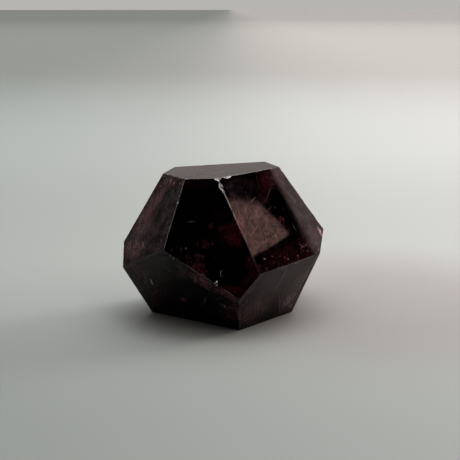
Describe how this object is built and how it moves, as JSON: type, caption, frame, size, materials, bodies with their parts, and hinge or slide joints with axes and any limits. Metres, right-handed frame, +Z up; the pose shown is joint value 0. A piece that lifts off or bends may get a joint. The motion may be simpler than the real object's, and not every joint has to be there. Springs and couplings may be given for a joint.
{
  "type": "garnet crystal",
  "caption": "Polished dark wine-red garnet crystal with broad flat facets, softly worn edges and small edge chips, standing on its flat base facet.",
  "frame": {"origin": "on the ground, under the middle of the stone's bounding box", "axes": "+Z up from the base facet; -Y towards the large front facet; +X to the viewer's right, along the stone's longest side"},
  "size_m": [0.0424, 0.0354, 0.0311],
  "materials": {
    "garnet": "glossy polished, translucent deep wine red that reads nearly black through its thickness"
  },
  "bodies": {
    "root": {"garnet_crystal": "garnet"}
  },
  "joints": []
}
